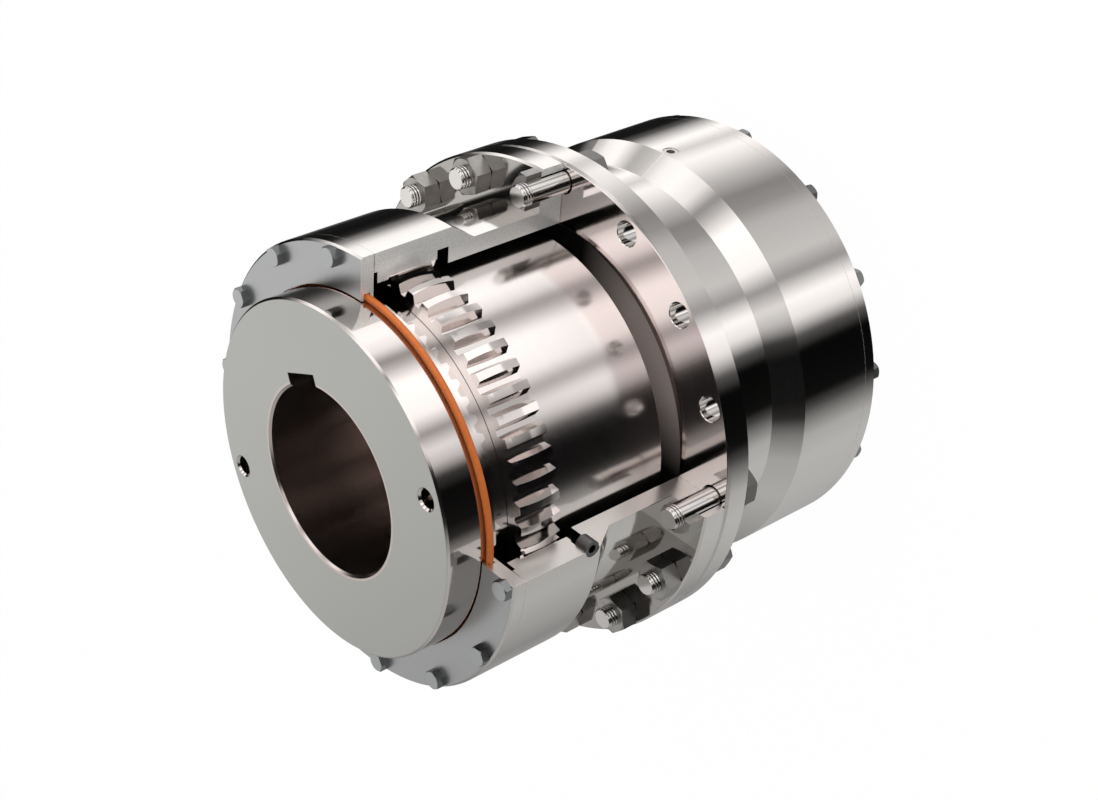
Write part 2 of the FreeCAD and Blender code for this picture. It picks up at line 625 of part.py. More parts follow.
front_screws = cover_screws("front_screws", "screws_turn", "screws_left", "screws_span")
keep(front_screws, "front_cover_screws")
keep(mirrored(cover_screws("rear_screws", None, "screw_count"), "rear_cover_screws"),
     "rear_cover_screws")
keep(grease_plugs("front_plugs", "front_plug_start"), "front_grease_plugs")
keep(mirrored(grease_plugs("rear_plugs", "rear_plug_start"), "rear_grease_plugs"),
     "rear_grease_plugs")

# Sealing rings, whole in both halves
seal = doc.addObject("Part::Torus", "front_seal_ring")
bind(seal, "Radius1", "seal_circle")
bind(seal, "Radius2", "seal_radius")
seal.setExpression(".Placement.Base.z", "sizes.half_length + sizes.cover_middle")
keep(seal, "front_seal_ring")
keep(mirrored(seal, "rear_seal_ring"), "rear_seal_ring")

# Sheet between the flanges, cut open together with the front half
sheet_body = new_body("whole_flange_gasket")
turned(sheet_body, "flange_sheet", [
    ("sleeve_bore_radius", "-flange_face"), ("flange_rim", "-flange_face"),
    ("flange_rim", "flange_face"), ("sleeve_bore_radius", "flange_face")])
sheet_hole = turned(sheet_body, "flange_sheet_hole", [
    ("bolt_circle_radius", "-flange_back"), ("bolt_hole_edge", "-flange_back"),
    ("bolt_hole_edge", "flange_back"), ("bolt_circle_radius", "flange_back"),
], "Groove", [("bolt_circle_radius", "-flange_back"), ("bolt_circle_radius", "flange_back")],
    "holes_turn")
ring_of(sheet_body, "flange_sheet_holes", [sheet_hole], "bolt_count")
keep(less(sheet_body, sector, "flange_gasket"), "flange_gasket")

# Flange bolts with their heads behind the rear flange, and nuts on the front flange.
# A bolt lies whole in each face of the display cut, and its nut is cut through.
bolts = new_body("flange_bolts", several=True)
bolt = turned(bolts, "bolt_turned_shape", [
    ("bolt_circle_radius", "-bolt_foot"), ("bolt_flat_edge", "-bolt_foot"),
    ("bolt_hex_edge", "-bolt_foot_rim"), ("bolt_hex_edge", "-flange_back"),
    ("bolt_edge", "-flange_back"), ("bolt_edge", "bolt_tip_rim"),
    ("bolt_tip_edge", "bolt_tip"), ("bolt_circle_radius", "bolt_tip"),
], around=[("bolt_circle_radius", "-bolt_foot"), ("bolt_circle_radius", "bolt_tip")],
    turn="bolts_turn")
bolt_flats_cut = hexagon_cut(bolts, "bolt_flats_cut", "bolt_seat", hexagon("bolt"),
                             "bolt_turned", "bolt_circle_radius", "bolt_head_height",
                             "bolts_turn", False)
ring_of(bolts, "bolt_ring", [bolt, bolt_flats_cut], "bolts_left", "bolts_span")
keep(bolts, "flange_bolts")

nuts = new_body("whole_nuts", several=True)
nut = turned(nuts, "nut_turned_shape", [
    ("nut_bore_edge", "flange_back"), ("bolt_flat_edge", "flange_back"),
    ("bolt_hex_edge", "nut_foot_rim"), ("bolt_hex_edge", "nut_top_rim"),
    ("bolt_flat_edge", "nut_top"), ("nut_bore_edge", "nut_top"),
], around=[("bolt_circle_radius", "flange_back"), ("bolt_circle_radius", "nut_top")],
    turn="bolts_turn")
nut_flats_cut = hexagon_cut(nuts, "nut_flats_cut", "flange_back", hexagon("bolt"),
                            "bolt_turned", "bolt_circle_radius", "nut_height",
                            "bolts_turn", True)
ring_of(nuts, "nut_ring", [nut, nut_flats_cut], "bolts_left", "bolts_span")
keep(less(nuts, sector, "flange_nuts"), "flange_nuts")

doc.recompute()
for item in doc.Objects:
    if "Invalid" in item.State or "Error" in item.State:
        raise RuntimeError("%s did not rebuild: %s" % (item.Name, item.State))
for item in NODES:
    shape = item.Shape
    if shape.isNull() or not shape.isValid() or not shape.Solids:
        raise RuntimeError("%s has no sound solid" % item.Label)
    shape.exportStep(os.path.join("parts", item.Label + ".step"))
    print(item.Label, len(shape.Solids), round(shape.Volume), shape.BoundBox)
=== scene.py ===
# %% [markdown]
# # A cutaway gear coupling in polished steel
#
# The coupling is all turned, ground and polished steel, with a ring of orange rubber at
# each end. Its shape comes complete from the frame, so this script works on light, finish
# and the small surface detail: threads on the bolt ends, grain on the cut faces and fine
# turning marks. All lengths are metres, and the axis of the coupling is +Z.

# %% Open the frame
import math

import bpy
import numpy as np
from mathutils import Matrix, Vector

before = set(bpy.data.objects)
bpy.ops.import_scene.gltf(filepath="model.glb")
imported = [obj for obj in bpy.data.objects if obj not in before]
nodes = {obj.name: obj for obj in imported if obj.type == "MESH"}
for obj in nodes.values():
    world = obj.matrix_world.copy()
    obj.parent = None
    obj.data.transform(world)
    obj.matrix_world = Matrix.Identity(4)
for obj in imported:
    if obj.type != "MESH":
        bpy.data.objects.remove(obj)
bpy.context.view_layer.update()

# %% [markdown]
# ## Camera
#
# The photograph looks into the cut from the front, a little to one side. One fit of the
# round edges to the photograph gave the place, the turn and the lens. The picture is cut
# from a wider one, so its middle lies off the lens's axis, and a small shift stands for it.

# %% Camera
CAMERA_PLACE = (0.20071, -0.63852, 0.60657)
CAMERA_TURN = (-32.79594, 51.52362, -111.18775)
CAMERA_LENS = 59.797
CAMERA_SHIFT = (0.11137, 0.05832)

camera_data = bpy.data.cameras.new("camera")
camera_data.lens = CAMERA_LENS
camera_data.sensor_width = 36.0
camera_data.shift_x, camera_data.shift_y = CAMERA_SHIFT
camera_data.clip_start = 0.01
camera_data.clip_end = 50.0
camera = bpy.data.objects.new("camera", camera_data)
camera.location = CAMERA_PLACE
camera.rotation_euler = [math.radians(angle) for angle in CAMERA_TURN]
bpy.context.scene.collection.objects.link(camera)
bpy.context.scene.camera = camera
bpy.context.view_layer.update()
print("camera at", CAMERA_PLACE, "with a lens of", CAMERA_LENS, "mm")

# %% [markdown]
# ## A small language for shaders
#
# Shader networks read best as sums. `Socket` wraps one output of a node and gives it
# plus, minus, times and powers, so that a pattern is written as a line of arithmetic.
# `Network.node` makes every other kind of node, with its settings first and then the
# values or links of its sockets. A `Shader` is the network of one material, and the
# studio round the coupling is a network too.


# %% A value in a network
class Socket:
    """One value that varies over a surface; arithmetic on it adds Math nodes."""

    def __init__(self, network, output):
        self.network = network
        self.output = output

    def __add__(self, other):
        return self.network.maths("ADD", self, other)

    __radd__ = __add__

    def __sub__(self, other):
        return self.network.maths("SUBTRACT", self, other)

    def __rsub__(self, other):
        return self.network.maths("SUBTRACT", other, self)

    def __mul__(self, other):
        return self.network.maths("MULTIPLY", self, other)

    __rmul__ = __mul__

    def __truediv__(self, other):
        return self.network.maths("DIVIDE", self, other)

    def __pow__(self, other):
        return self.network.maths("POWER", self, other)

    def sine(self):
        return self.network.maths("SINE", self)

    def magnitude(self):
        return self.network.maths("ABSOLUTE", self)

    def most(self, other):
        return self.network.maths("MAXIMUM", self, other)

    def ramp(self, start, end):
        """0 at start, 1 at end, straight between them and clamped outside."""
        node = self.network.node("ShaderNodeMapRange", {"clamp": True},
                                 {0: self, 1: start, 2: end, 3: 0.0, 4: 1.0})
        return Socket(self.network, node.outputs[0])


# %% Networks and materials
class Network:
    """A node tree, with the calls that add nodes to it."""

    def __init__(self, tree):
        self.tree = tree

    def fill(self, socket, value):
        """Link a socket to an output, or give it a fixed value."""
        if isinstance(value, Socket):
            value = value.output
        if isinstance(value, bpy.types.NodeSocket):
            self.tree.links.new(value, socket)
        else:
            socket.default_value = value

    def node(self, kind, settings=None, values=None):
        """A new node, with its settings first and then its values or links."""
        node = self.tree.nodes.new(kind)
        for name, value in (settings or {}).items():
            setattr(node, name, value)
        for name, value in (values or {}).items():
            self.fill(node.inputs[name], value)
        return node

    def maths(self, operation, *values):
        """The result of one Math node."""
        node = self.node("ShaderNodeMath", {"operation": operation}, dict(enumerate(values)))
        return Socket(self, node.outputs[0])

    def split(self, vector):
        """The three parts of a vector."""
        node = self.node("ShaderNodeSeparateXYZ", {}, {0: vector})
        return [Socket(self, output) for output in node.outputs]

    def blend(self, factor, first, second):
        """A colour between two colours."""
        node = self.node("ShaderNodeMix", {"data_type": "RGBA"}, {0: factor, 6: first, 7: second})
        return node.outputs[2]

    def mix_shaders(self, factor, first, second):
        """A shader between two shaders."""
        return self.node("ShaderNodeMixShader", {}, {0: factor, 1: first, 2: second}).outputs[0]


class Shader(Network):
    """A new material, which knows the place of each point on its piece."""

    def __init__(self, name):
        self.material = bpy.data.materials.new(name)
        self.material.use_nodes = True
        super().__init__(self.material.node_tree)
        self.principled = self.tree.nodes["Principled BSDF"]
        self.place = self.node("ShaderNodeTexCoord").outputs["Object"]
        self.x, self.y, self.z = self.split(self.place)
        self.radius = (self.x * self.x + self.y * self.y) ** 0.5

    def noise(self, scale, detail, roughness, place=None):
        """Soft clouds between 0 and 1."""
        node = self.node("ShaderNodeTexNoise", {},
                         {"Vector": place or self.place, "Scale": scale,
                          "Detail": detail, "Roughness": roughness})
        return Socket(self, node.outputs[0])

    def stretched(self, scale):
        """The place on the surface, scaled differently along the three axes."""
        return self.node("ShaderNodeMapping", {}, {"Vector": self.place, "Scale": scale}).outputs[0]

    def bump(self, height, strength, distance, normal=None):
        """The surface normal, tilted by a height."""
        values = {"Height": height, "Strength": strength, "Distance": distance}
        if normal:
            values["Normal"] = normal
        return self.node("ShaderNodeBump", {}, values).outputs[0]

    def set(self, **values):
        """Fill sockets of the surface shader by name, and return the material."""
        for name, value in values.items():
            self.fill(self.principled.inputs[name.replace("_", " ")], value)
        return self.material


def wear(names, material):
    """Give nodes of the frame a finish in every material slot."""
    for name in names:
        for slot in nodes[name].material_slots:
            slot.material = material
    print(material.name, "on", ", ".join(names))


# %% [markdown]
# ## Where a finish begins
#
# Polished steel shows almost nothing of its own, only what stands round it, so its colour
# is a pale warm grey and its roughness is very low. Faces that were turned or cut open
# are satin, because a cutting tool leaves fine marks there. The same piece often has both,
# so each finish starts polished and has satin laid over the places where the tool went.
# Those places are written as bands of height, of radius or of distance from a plane. The
# heights of whole faces are read from the frame, so that a finish stays on its face.


# %% Heights of faces
def heights(name):
    """The lowest and the highest point of a piece, to a hundredth of a millimetre."""
    mesh = nodes[name].data
    places = np.empty(3 * len(mesh.vertices), dtype=np.float32)
    mesh.vertices.foreach_get("co", places)
    z = places.reshape(-1, 3)[:, 2]
    return round(float(z.min()), 5), round(float(z.max()), 5)


FRONT_END = heights("front_hub")[1]
MIDDLE = FRONT_END / 2
REAR_HUB_TOP = heights("rear_hub")[1]
JOINT_FACE = heights("rear_sleeve")[1]
REAR_COVER_FACE = heights("rear_cover")[0]
FRONT_COVER_FACE = heights("front_cover")[1]
REAR_SCREW_END = heights("rear_cover_screws")[0]
FRONT_SCREW_END = heights("front_cover_screws")[1]
NUT_SEAT, NUT_TOP = heights("flange_nuts")
# Both halves are alike, so bolt heads sit as far from the rear end as nuts from the front
BOLT_SEAT = FRONT_END - NUT_SEAT
print("covers from", REAR_COVER_FACE, "to", FRONT_COVER_FACE, "and nuts from", NUT_SEAT, "up")

# %% Bands of height and radius
# How wide the edge of a finish is to each side, and how near to a face counts as on it
SOFT_EDGE = 0.00005
NEAR = 0.0001


def above(value, limit):
    """1 above a limit and 0 below it, with a soft edge a fraction of a millimetre wide."""
    return value.ramp(limit - SOFT_EDGE, limit + SOFT_EDGE)


def below(value, limit):
    """1 below a limit and 0 above it, with the same soft edge."""
    return value.ramp(limit + SOFT_EDGE, limit - SOFT_EDGE)


def within(value, low, high):
    """1 between two limits and 0 outside them."""
    return above(value, low) * below(value, high)


def level_with(shader, height):
    """1 on a flat face across the axis at a height, and 0 elsewhere."""
    return within(shader.z, height - NEAR, height + NEAR)


def in_ring(shader, ring):
    """1 inside a ring round the axis, given by its heights and its radii, and 0 outside."""
    ring_heights, ring_radii = ring
    return within(shader.z, *ring_heights) * within(shader.radius, *ring_radii)


# %% Distances from the display cut
# Turns of the upper and the lower cut face from the keyway, in degrees
CUT_TURNS = (-23.8, -113.8)
# Distances from a cut plane at which a finish has ended and is complete
OFF_THE_CUT = 0.00012
ON_THE_CUT = 0.00004


def along(shader, turn):
    """Distance from the axis in a direction, given by its turn from the keyway."""
    return shader.x * math.cos(math.radians(turn)) + shader.y * math.sin(math.radians(turn))


def behind(shader, turn):
    """Distance from the plane through the axis and a direction, given by its turn."""
    return shader.x * math.sin(math.radians(turn)) - shader.y * math.cos(math.radians(turn))


def on_cut(shader, turn):
    """1 on the flat face of the display cut that runs out from the axis, and 0 elsewhere."""
    on_plane = behind(shader, turn).magnitude().ramp(OFF_THE_CUT, ON_THE_CUT)
    # The plane runs on beyond the axis, where there is no cut
    return on_plane * along(shader, turn).ramp(0.0, 0.01)


# %% [markdown]
# ## Steel
#
# The coupling has three finishes of ground and polished steel. Sleeves are polished, and
# the mouth of the rear one, which the cut shows, is dull inside. Hubs are ground, with
# satin ends. Covers are satin on their outer face and polished on the rim, together with
# the sleeve.
# The display cut runs through sleeve and cover: its upper face is pale and grainy, as
# sawn, and its lower face is milled smooth.

# %% Marks of the tools
# Values called ROUGHENS are added to the roughness where the finish lies
MARK_DEPTH = 0.03
RING_SCALE = (6.0, 6.0, 900.0)
POLISHED_ROUGHNESS = 0.085
MILLED_ROUGHENS = 0.22
GRAIN_ROUGHENS = 0.13
GRAIN_HIDES_METAL = 0.45
POLISHED = (0.70, 0.672, 0.655, 1)
MILLED = (0.76, 0.757, 0.735, 1)
GRAINY_DARK = (0.80, 0.80, 0.78, 1)
GRAINY_LIGHT = (0.98, 0.98, 0.96, 1)


def turning_marks(shader):
    """Fine rings and slow clouds that only move the roughness a little."""
    clouds = shader.noise(scale=18.0, detail=4.0, roughness=0.6)
    fine_rings = shader.noise(scale=1.0, detail=2.0, roughness=0.5,
                              place=shader.stretched(RING_SCALE))
    return (clouds - 0.5) * MARK_DEPTH + (fine_rings - 0.5) * MARK_DEPTH


def grainy_face(shader, upper, colour, normal=None):
    """The colour, metal and normal of a finish, with the grain laid over the upper cut face."""
    grain = shader.noise(scale=1500.0, detail=3.0, roughness=0.75)
    grainy = shader.blend(grain.ramp(0.38, 0.60), GRAINY_DARK, GRAINY_LIGHT)
    return {"Base_Color": shader.blend(upper, colour, grainy),
            "Metallic": 1.0 - upper * GRAIN_HIDES_METAL,
            "Normal": shader.bump(grain * upper, strength=0.35, distance=0.0002, normal=normal)}


# %% Sleeves
# Painted shade on the face where the nuts sit, and painted light on that face beside the lower cut
SEAT_PAINTED_SHADE = (0.37, 0.355, 0.34, 1)
SEAT_PAINTED_LIGHT = (0.56, 0.55, 0.53, 1)
SEAT_PAINTED_LIGHT_WIDTH = 0.018
JOINT_STEEL = (0.80, 0.735, 0.725, 1)
INSIDE_STEEL = (0.55, 0.50, 0.48, 1)
INSIDE_ROUGHENS = 0.3
REAR_SLEEVE_INSIDE = ((0.0, 0.1216), (0.080, 0.0842))
BEVEL_REACH = 0.0014
BEVEL_START = (0.1105, 0.1106)


def rim_normal(shader):
    """The surface normal, turned straight outwards over the bevels of the flange joint.

    The rim is polished with both flanges together, so it mirrors as one band."""
    at_joint = within(shader.z, MIDDLE - BEVEL_REACH, MIDDLE + BEVEL_REACH)
    bevels = at_joint * shader.radius.ramp(*BEVEL_START)
    flat = shader.node("ShaderNodeCombineXYZ", {}, {0: shader.x, 1: shader.y, 2: 0.0})
    outwards = shader.node("ShaderNodeVectorMath", {"operation": "NORMALIZE"},
                           {0: flat.outputs[0]})
    geometry = shader.node("ShaderNodeNewGeometry")
    mix = shader.node("ShaderNodeMix", {"data_type": "VECTOR"},
                      {0: bevels, 4: geometry.outputs["Normal"], 5: outwards.outputs[0]})
    return mix.outputs[1]


def sleeve_finish():
    """Polished; dull inside the rear mouth, with painted shade on the face among the nuts and
    painted light on that face by the lower cut.
    """
    shader = Shader("polished_sleeve")
    upper, lower = [on_cut(shader, turn) for turn in CUT_TURNS]
    nut_seat = level_with(shader, NUT_SEAT)
    painted_light_by_cut = nut_seat * within(behind(shader, CUT_TURNS[1]), 0.0, SEAT_PAINTED_LIGHT_WIDTH)
    inside = in_ring(shader, REAR_SLEEVE_INSIDE)
    # Painted shade darkens the nut seat among the nuts, and painted light makes it paler beside the
    # lower cut
    colour = shader.blend(nut_seat, POLISHED, SEAT_PAINTED_SHADE)
    colour = shader.blend(painted_light_by_cut, colour, SEAT_PAINTED_LIGHT)
    colour = shader.blend(level_with(shader, JOINT_FACE), colour, JOINT_STEEL)
    colour = shader.blend(inside, colour, INSIDE_STEEL)
    colour = shader.blend(lower, colour, MILLED)
    rough = POLISHED_ROUGHNESS + turning_marks(shader) + lower * MILLED_ROUGHENS
    return shader.set(
        Roughness=rough + upper * GRAIN_ROUGHENS + inside * INSIDE_ROUGHENS,
        **grainy_face(shader, upper, colour, rim_normal(shader)))


wear(["front_sleeve", "rear_sleeve"], sleeve_finish())

# %% Hubs
GROUND_ROUGHNESS = 0.09
GROUND = (0.72, 0.668, 0.648, 1)
END_FACE_STEEL = (0.425, 0.428, 0.412, 1)
END_FACE_ROUGHENS = 0.24
BORE_STEEL = (0.63, 0.565, 0.535, 1)
BORE_RADII = (0.030, 0.0445)
BORE_ROUGHENS = 0.09
BARREL_STEEL = (0.76, 0.71, 0.69, 1)
BARREL_HEIGHTS = (0.1270, 0.1892)
BARREL_START = (0.0790, 0.0792)
BARREL_ROUGHENS = 0.07
RELIEF = ((0.2095, 0.2199), (0.0750, 0.0803))
RELIEF_CORNER = ((0.20985, 0.21015), (0.0750, 0.07595))
SHADED_CORNER = (0.16, 0.15, 0.15, 1)
# Painted shade and painted light for the greased inner face: black beside the cut faces and lit in
# the middle of the cut
GREASE_PAINTED_SHADE = (0.02, 0.018, 0.017, 1)
GREASE_PAINTED_LIGHT = (0.76, 0.675, 0.645, 1)
GREASE_ROUGHENS = 0.35
GREASE_HIDES_METAL = 0.5
PAINTED_LIGHT_TURN = -75.0
PAINTED_LIGHT_EDGE = (0.72, 0.96)


def hub_finish():
    """Ground hub: satin end faces, polished land, bright barrel, greased inner face with painted
    light in the middle of the cut and painted shade beside it.
    """
    shader = Shader("ground_hub")
    end_face = above(shader.z, FRONT_END - NEAR).most(below(shader.z, NEAR))
    bore = within(shader.radius, *BORE_RADII)
    barrel = within(shader.z, *BARREL_HEIGHTS) * shader.radius.ramp(*BARREL_START)
    greased = level_with(shader, REAR_HUB_TOP)
    # Painted light and shade on the greased face: light in the middle of the cut, black painted
    # shade beside the cut faces
    painted_light_mask = (along(shader, PAINTED_LIGHT_TURN) / shader.radius).ramp(*PAINTED_LIGHT_EDGE)
    grease_light_and_shade = shader.blend(painted_light_mask, GREASE_PAINTED_SHADE, GREASE_PAINTED_LIGHT)
    colour = shader.blend(end_face, GROUND, END_FACE_STEEL)
    colour = shader.blend(barrel.most(in_ring(shader, RELIEF)), colour, BARREL_STEEL)
    colour = shader.blend(bore, colour, BORE_STEEL)
    colour = shader.blend(greased, colour, grease_light_and_shade)
    colour = shader.blend(in_ring(shader, RELIEF_CORNER), colour, SHADED_CORNER)
    rough = GROUND_ROUGHNESS + turning_marks(shader) + end_face * END_FACE_ROUGHENS
    rough = rough + bore * BORE_ROUGHENS + barrel * BARREL_ROUGHENS
    grain = shader.noise(scale=2600.0, detail=2.0, roughness=0.6)
    return shader.set(
        Base_Color=colour,
        Metallic=1.0 - greased * GREASE_HIDES_METAL,
        Roughness=rough + greased * GREASE_ROUGHENS,
        Normal=shader.bump(grain * end_face, strength=0.08, distance=0.0001))


wear(["front_hub", "rear_hub"], hub_finish())

# %% Covers
COVER_STEEL = (0.39, 0.398, 0.40, 1)


def cover_finish():
    """Satin outer face; the rim is polished together with the sleeve's barrel."""
    shader = Shader("cover_steel")
    upper, lower = [on_cut(shader, turn) for turn in CUT_TURNS]
    front_face = above(shader.z, FRONT_COVER_FACE - NEAR)
    face = front_face.most(below(shader.z, REAR_COVER_FACE + NEAR))
    colour = shader.blend(lower, shader.blend(face, POLISHED, COVER_STEEL), MILLED)
    rough = POLISHED_ROUGHNESS + turning_marks(shader) + face.most(lower) * MILLED_ROUGHENS
    return shader.set(
        Roughness=rough + upper * GRAIN_ROUGHENS,
        **grainy_face(shader, upper, colour))


wear(["front_cover", "rear_cover"], cover_finish())

# %% [markdown]
# ## Fasteners
#
# Bolts, nuts, screws and plugs are bought parts, made of wire and bar, and darker than
# the ground steel round them. Only the bolts have a thread in sight, on the ends that
# stand out of the nuts. It is far too fine to model on thirteen bolts, so a wave along the
# axis goes through a Bump node: it bends the mirror, and that is all the eye sees of it.
# Nuts, screws and plugs are duller than the bolts, because sharp reflections on faces as
# small as theirs would look like noise.

# %% Bought steel
CLOUDS = {"scale": 160.0, "detail": 3.0, "roughness": 0.6}
CLOUD_DEPTH = 0.06
BOLT_ROUGHNESS = 0.10
HEAD_ROUGHNESS = 0.31


def clouded(shader, rough):
    """A roughness that changes slowly over the steel."""
    return rough + (shader.noise(**CLOUDS) - 0.5) * CLOUD_DEPTH


# %% Bolts and nuts
THREAD_PITCH = 0.0015
BOLT_STEEL = (0.61, 0.595, 0.575, 1)
SHADED_HEADS = (0.15, 0.148, 0.145, 1)
NUT_DARK = (0.32, 0.31, 0.295, 1)
NUT_LIGHT = (0.40, 0.39, 0.375, 1)

bolt = Shader("bright_bolts")
thread = (bolt.z * (2 * math.pi / THREAD_PITCH)).sine() * above(bolt.z, NUT_TOP)
wear(["flange_bolts"], bolt.set(
    Base_Color=bolt.blend(below(bolt.z, BOLT_SEAT + SOFT_EDGE), BOLT_STEEL, SHADED_HEADS),
    Metallic=1.0,
    Roughness=clouded(bolt, BOLT_ROUGHNESS),
    Normal=bolt.bump(thread, strength=0.8, distance=0.0003)))

nut = Shader("grey_nuts")
wear(["flange_nuts"], nut.set(
    Base_Color=nut.blend(nut.noise(**CLOUDS).ramp(0.35, 0.65), NUT_DARK, NUT_LIGHT),
    Metallic=1.0,
    Roughness=clouded(nut, HEAD_ROUGHNESS)))

# %% Cover screws and grease plugs
SCREW_STEEL = (0.22, 0.225, 0.23, 1)
SCREW_END_STEEL = (0.40, 0.41, 0.415, 1)
REAR_PLUG_STEEL = (0.64, 0.62, 0.60, 1)
FRONT_PLUG_STEEL = (0.13, 0.13, 0.13, 1)

screw = Shader("dark_screws")
front_end = above(screw.z, FRONT_SCREW_END - SOFT_EDGE)
screw_end = front_end.most(below(screw.z, REAR_SCREW_END + SOFT_EDGE))
wear(["front_cover_screws", "rear_cover_screws"], screw.set(
    Base_Color=screw.blend(screw_end, SCREW_STEEL, SCREW_END_STEEL),
    Metallic=1.0,
    Roughness=clouded(screw, HEAD_ROUGHNESS)))

plug = Shader("plugs")
wear(["front_grease_plugs", "rear_grease_plugs"], plug.set(
    Base_Color=plug.blend(above(plug.z, MIDDLE), REAR_PLUG_STEEL, FRONT_PLUG_STEEL),
    Metallic=1.0,
    Roughness=clouded(plug, HEAD_ROUGHNESS)))

# %% [markdown]
# ## Rubber and gaskets
#
# The sealing rings are smooth orange rubber with a dull sheen. The gaskets are thin sheets
# of which only the edge is seen. It was polished together with the steel on both sides of
# it, so it mirrors almost as they do and the joints hardly show.

# %% Rubber
RUBBER_DARK = (0.46, 0.105, 0.012, 1)
RUBBER_LIGHT = (0.54, 0.13, 0.015, 1)

rubber = Shader("orange_rubber")
specks = rubber.noise(scale=400.0, detail=3.0, roughness=0.6)
wear(["front_seal_ring", "rear_seal_ring"], rubber.set(
    Base_Color=rubber.blend(specks.ramp(0.3, 0.7), RUBBER_DARK, RUBBER_LIGHT),
    Roughness=0.42 + specks * 0.1,
    Normal=rubber.bump(specks, strength=0.1, distance=0.0001)))

# %% Gasket sheet
FIBRE_DARK = (0.58, 0.56, 0.54, 1)
FIBRE_LIGHT = (0.66, 0.64, 0.62, 1)

fibre = Shader("fibre_sheet")
strands = fibre.noise(scale=900.0, detail=3.0, roughness=0.7)
wear(["front_cover_gasket", "rear_cover_gasket", "flange_gasket"], fibre.set(
    Base_Color=fibre.blend(strands, FIBRE_DARK, FIBRE_LIGHT),
    Metallic=0.9,
    Roughness=0.10 + strands * 0.08))

# %% [markdown]
# ## Light
#
# A polished cylinder is a mirror that sees one ring of the studio, so its bands are the
# walls of the room, drawn out along the axis. The studio here is written as turns round
# the coupling: black cards, bright strips between them and plain grey walls. The low ring
# is what the sleeves see. The middle ring, with wider strips, is what the hubs and the
# tapers see. The high ring has one broad pale wall, for the faces that look up at the
# camera, and is otherwise as the middle one.
# Only reflections see these walls. What is dull is lit by an even pale room, and the
# camera sees white.

# %% Studio walls
# Turn round the axis from the keyway in degrees, and how bright the wall is there
LOW_WALLS = [
    (0, 0.75), (10, 1.15), (20, 1.45), (29, 0.90), (40, 1.50), (50, 0.66), (58, 0.12),
    (66, 0.01), (88, 0.012), (100, 0.28), (125, 0.42), (165, 0.58), (190, 0.64),
    (204, 0.56), (213, 0.30), (221, 0.08), (227, 0.006), (254, 0.003), (262, 0.12),
    (271, 1.15), (281, 1.48), (293, 0.42), (304, 0.80), (326, 0.66), (336, 0.40),
    (346, 0.32), (360, 0.75),
]
MIDDLE_WALLS = [
    (0, 1.50), (9, 1.40), (18, 0.80), (25, 0.62), (35, 1.50), (43, 1.30), (51, 0.38),
    (58, 0.02), (66, 0.008), (84, 0.015), (98, 0.22), (125, 0.34), (145, 0.31),
    (162, 0.43), (186, 0.57), (205, 0.52), (217, 0.28), (226, 0.03), (234, 0.008),
    (256, 0.004), (265, 0.05), (273, 0.72), (281, 1.05), (291, 0.40), (302, 1.40),
    (324, 1.60), (335, 0.68), (341, 0.36), (349, 1.20), (360, 1.50),
]
PALE_WALL = [
    (80, 0.02), (87, 0.55), (94, 1.18), (102, 1.18), (110, 0.95), (118, 0.66), (130, 0.46),
]
# The high ring has the pale wall in place of the middle walls between these turns
PALE_WALL_SPAN = (80, 200)
HIGH_WALLS = ([stop for stop in MIDDLE_WALLS if stop[0] < PALE_WALL_SPAN[0]] + PALE_WALL
              + [stop for stop in MIDDLE_WALLS if stop[0] > PALE_WALL_SPAN[1]])
print("walls:", len(LOW_WALLS), len(MIDDLE_WALLS), len(HIGH_WALLS), "stops")

# %% Rings of walls
BRIGHTEST = 2.0
GREY_WALLS = (140, 220)
GREY_TINT = (1.0, 1.01, 0.99)
WARM_TINT = (1.0, 0.99, 0.98)

world = bpy.data.worlds.new("studio")
bpy.context.scene.world = world
world.use_nodes = True
room = Network(world.node_tree)
looking = room.node("ShaderNodeTexCoord").outputs["Generated"]
looking_x, looking_y, looking_z = room.split(looking)
signed_turn = room.maths("ARCTAN2", looking_y, looking_x) * (0.5 / math.pi)
whole_turn = room.maths("FRACT", signed_turn)


def ring_of_walls(walls):
    """A colour ramp once round the room; its grey back walls are a little cooler."""
    ramp = room.node("ShaderNodeValToRGB", {}, {0: whole_turn})
    stops = ramp.color_ramp.elements
    # A new ramp already has its first two stops
    for index, (angle, bright) in enumerate(walls):
        stop = stops[index] if index < 2 else stops.new(angle / 360.0)
        stop.position = angle / 360.0
        tint = GREY_TINT if GREY_WALLS[0] < angle < GREY_WALLS[1] else WARM_TINT
        stop.color = [bright / BRIGHTEST * part for part in tint] + [1.0]
    return ramp.outputs[0]


# %% Studio round the coupling
MIDDLE_RING_START = (-0.645, -0.605)
HIGH_RING_START = (0.10, 0.25)
ROOM_LIGHT = 0.75
WHITE = (1, 1, 1, 1)


def background(colour, strength):
    """One light from all round."""
    return room.node("ShaderNodeBackground", {}, {"Color": colour, "Strength": strength}).outputs[0]


studio = room.blend(looking_z.ramp(*MIDDLE_RING_START),
                    ring_of_walls(LOW_WALLS), ring_of_walls(MIDDLE_WALLS))
studio = room.blend(looking_z.ramp(*HIGH_RING_START), studio, ring_of_walls(HIGH_WALLS))
rays = room.node("ShaderNodeLightPath")
for_surfaces = room.mix_shaders(rays.outputs["Is Glossy Ray"], background(WHITE, ROOM_LIGHT),
                                background(studio, BRIGHTEST))
for_all = room.mix_shaders(rays.outputs["Is Camera Ray"], for_surfaces, background(WHITE, 1.0))
room.fill(room.tree.nodes["World Output"].inputs[0], for_all)
bpy.context.scene.view_settings.view_transform = "Standard"
print("studio:", len(room.tree.nodes), "nodes")

# %% [markdown]
# ## Lamp
#
# One soft lamp stands above the coupling in the picture, a little to the left, and gives
# the dull faces a light side. Mirrors don't show it: the walls are all that they need.

# %% Lamp
KEY_DIRECTION = (-0.3, 1.0, 0.8)
KEY_DISTANCE = 1.0
KEY_SIZE = (1.0, 0.8)
KEY_WATTS = 7.0

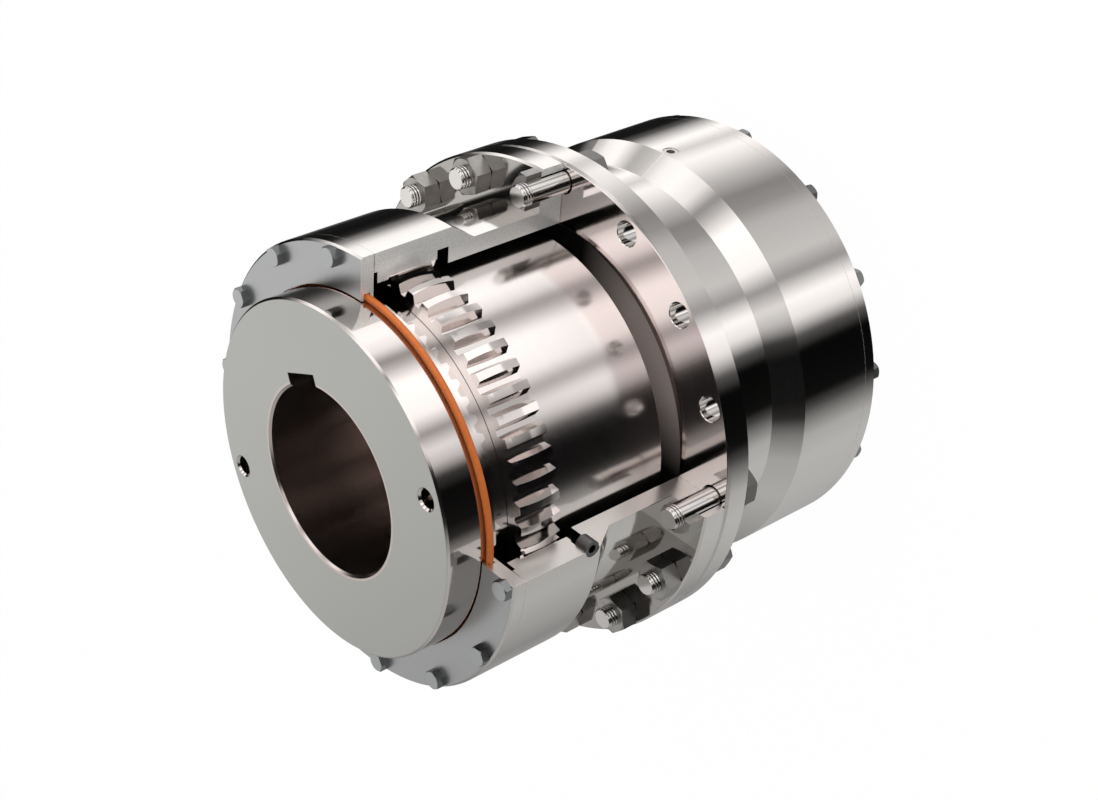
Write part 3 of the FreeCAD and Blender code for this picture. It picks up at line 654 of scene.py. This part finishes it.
key_data = bpy.data.lights.new("key", "AREA")
key_data.shape = "RECTANGLE"
key_data.size, key_data.size_y = KEY_SIZE
key_data.energy = KEY_WATTS
# The direction counts to the right, upwards and towards the camera in the picture
towards_key = (camera.matrix_world.to_3x3() @ Vector(KEY_DIRECTION)).normalized()
key = bpy.data.objects.new("key", key_data)
key.location = Vector((0.0, 0.0, MIDDLE)) + towards_key * KEY_DISTANCE
key.rotation_euler = towards_key.to_track_quat("Z", "Y").to_euler()
key.visible_glossy = False
bpy.context.scene.collection.objects.link(key)
print("key lamp at", key.location.to_tuple(3))

# %% [markdown]
# ## Floor
#
# The coupling stands on its end on a plain pale floor. The floor is white paper to the
# camera and keeps a faint shadow, and mirrors look through it at the studio walls.

# %% Floor
FLOOR_REACH = 6.0
FLOOR_GREY = (0.9, 0.9, 0.9, 1)
PAPER_GLOW = 0.985

floor_mesh = bpy.data.meshes.new("floor")
floor_mesh.from_pydata(
    [(-FLOOR_REACH, -FLOOR_REACH, 0.0), (FLOOR_REACH, -FLOOR_REACH, 0.0),
     (FLOOR_REACH, FLOOR_REACH, 0.0), (-FLOOR_REACH, FLOOR_REACH, 0.0)],
    [], [(0, 1, 2, 3)])
floor = bpy.data.objects.new("floor", floor_mesh)
bpy.context.scene.collection.objects.link(floor)
paper = Shader("paper_floor")
floor_mesh.materials.append(
    paper.set(Base_Color=FLOOR_GREY, Roughness=0.9, Specular_IOR_Level=0.0))
matt = paper.principled.outputs[0]
glow = paper.node("ShaderNodeEmission", {}, {"Color": WHITE, "Strength": 1.0}).outputs[0]
clear = paper.node("ShaderNodeBsdfTransparent").outputs[0]
floor_rays = paper.node("ShaderNodeLightPath")
to_camera = paper.mix_shaders(floor_rays.outputs["Is Camera Ray"], matt,
                              paper.mix_shaders(PAPER_GLOW, matt, glow))
to_all = paper.mix_shaders(floor_rays.outputs["Is Glossy Ray"], to_camera, clear)
paper.fill(paper.tree.nodes["Material Output"].inputs[0], to_all)
print("floor reaches", FLOOR_REACH, "m each way")
